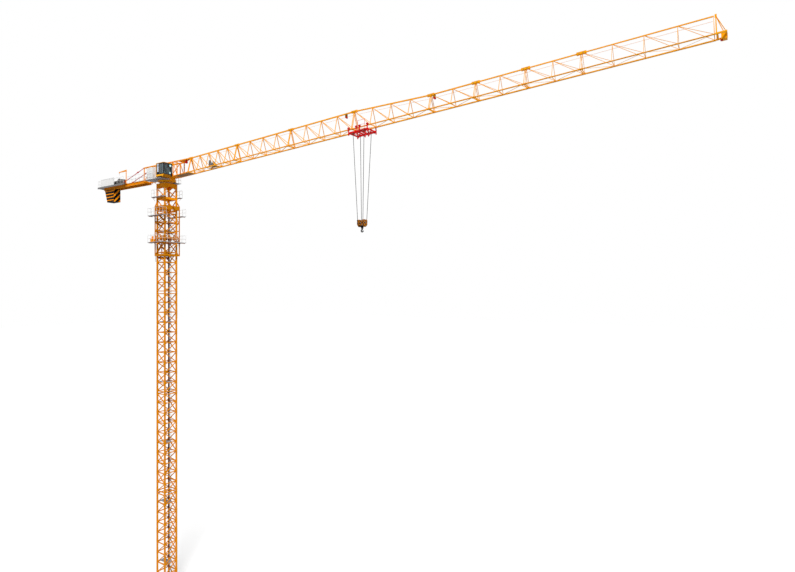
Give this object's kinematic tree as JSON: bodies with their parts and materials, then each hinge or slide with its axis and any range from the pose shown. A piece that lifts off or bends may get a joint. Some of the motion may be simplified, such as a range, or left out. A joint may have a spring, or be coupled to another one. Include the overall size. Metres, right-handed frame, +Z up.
{
  "type": "flat-top tower crane, 1:10 scale model",
  "caption": "Flat-top tower crane at 1:10 with lattice mast, climbing cage, slewing upperworks, jib with travelling trolley and hook, and counter-jib",
  "frame": {"origin": "centre of the mast's foot, on the underside of the base cross", "axes": "+Z up the mast, +X along the jib at rest, the cab on the -Y side"},
  "size_m": [8.9769, 0.413, 6.684],
  "materials": {
    "orange_paint": "semi-gloss paint over steel",
    "grey_grating": "galvanised",
    "pale_rail": "painted pale",
    "white_sheet": "painted sheet",
    "red_paint": "gloss paint over steel",
    "dark_steel": "greased steel",
    "bright_steel": "ground steel",
    "rope": "stranded wire, greased",
    "cab_glass": "tinted",
    "concrete": "painted ballast blocks with hazard stripes",
    "hook_black": "forged",
    "block_paint": "hazard striped"
  },
  "bodies": {
    "mast": {"base_cross": "orange_paint", "mast_part_1": "orange_paint", "mast_part_2": "orange_paint", "mast_part_3": "orange_paint", "mast_part_4": "orange_paint", "mast_ladder": "grey_grating", "mast_rest_platforms": "grey_grating", "climbing_yoke": "red_paint", "jack_rod": "bright_steel"},
    "cage": {"slewing_support": "orange_paint", "climbing_cage": "orange_paint", "cage_platforms": "grey_grating", "cage_railings": "pale_rail", "cage_ladder": "pale_rail", "jack_cylinder": "red_paint", "pump_unit": "orange_paint", "slewing_ring_lower": "dark_steel"},
    "upperworks": {"turret": "orange_paint", "upper_frame": "orange_paint", "frame_walkway": "grey_grating", "cab_frame": "orange_paint", "cab_windows": "cab_glass", "cab_platform": "grey_grating", "electric_cabinet": "white_sheet", "upper_railings": "pale_rail", "turret_step": "grey_grating", "jib_section_1": "orange_paint", "jib_section_2": "orange_paint", "jib_section_3": "orange_paint", "jib_section_4": "orange_paint", "jib_section_5": "orange_paint", "jib_section_6": "orange_paint", "jib_section_7": "orange_paint", "jib_section_8": "orange_paint", "jib_nose": "orange_paint", "root_sheave": "red_paint", "trolley_winch": "grey_grating", "counter_jib": "orange_paint", "counter_jib_walkway": "grey_grating", "counter_jib_railings": "pale_rail", "tie_bars": "red_paint", "hoist_winch": "dark_steel", "side_panel": "white_sheet", "counterweights": "concrete", "davit_post": "orange_paint"},
    "trolley": {"trolley_frame": "red_paint", "trolley_wheels": "dark_steel", "trolley_sheaves": "dark_steel", "hoist_ropes": "rope"},
    "hook_block": {"hook_block": "block_paint", "hook_sheaves": "dark_steel"},
    "hook": {"hook": "hook_black"},
    "davit_arm": {"davit_arm": "orange_paint"}
  },
  "joints": [
    {"name": "climb", "type": "slide", "parent": "mast", "child": "cage", "axis": [0, 0, 1], "range_m": [0, 0.15]},
    {"name": "slew", "type": "hinge", "parent": "cage", "child": "upperworks", "pos_m": [0, 0, 6.1443], "axis": [0, 0, 1], "continuous": true},
    {"name": "trolley_travel", "type": "slide", "parent": "upperworks", "child": "trolley", "axis": [0.9991, 0, 0.0429], "range_m": [-3.282, 3.25]},
    {"name": "hoist", "type": "slide", "parent": "trolley", "child": "hook_block", "axis": [0, 0, 1], "range_m": [-4.99, 0.78], "deforming": ["hoist_ropes"]},
    {"name": "hook_swivel", "type": "hinge", "parent": "hook_block", "child": "hook", "pos_m": [3.69804, 0, 5.259], "axis": [0, 0, 1], "continuous": true},
    {"name": "davit_swing", "type": "hinge", "parent": "upperworks", "child": "davit_arm", "pos_m": [-0.973, -0.08, 6.4248], "axis": [0, 0, 1], "range_deg": [-80, 80]}
  ]
}
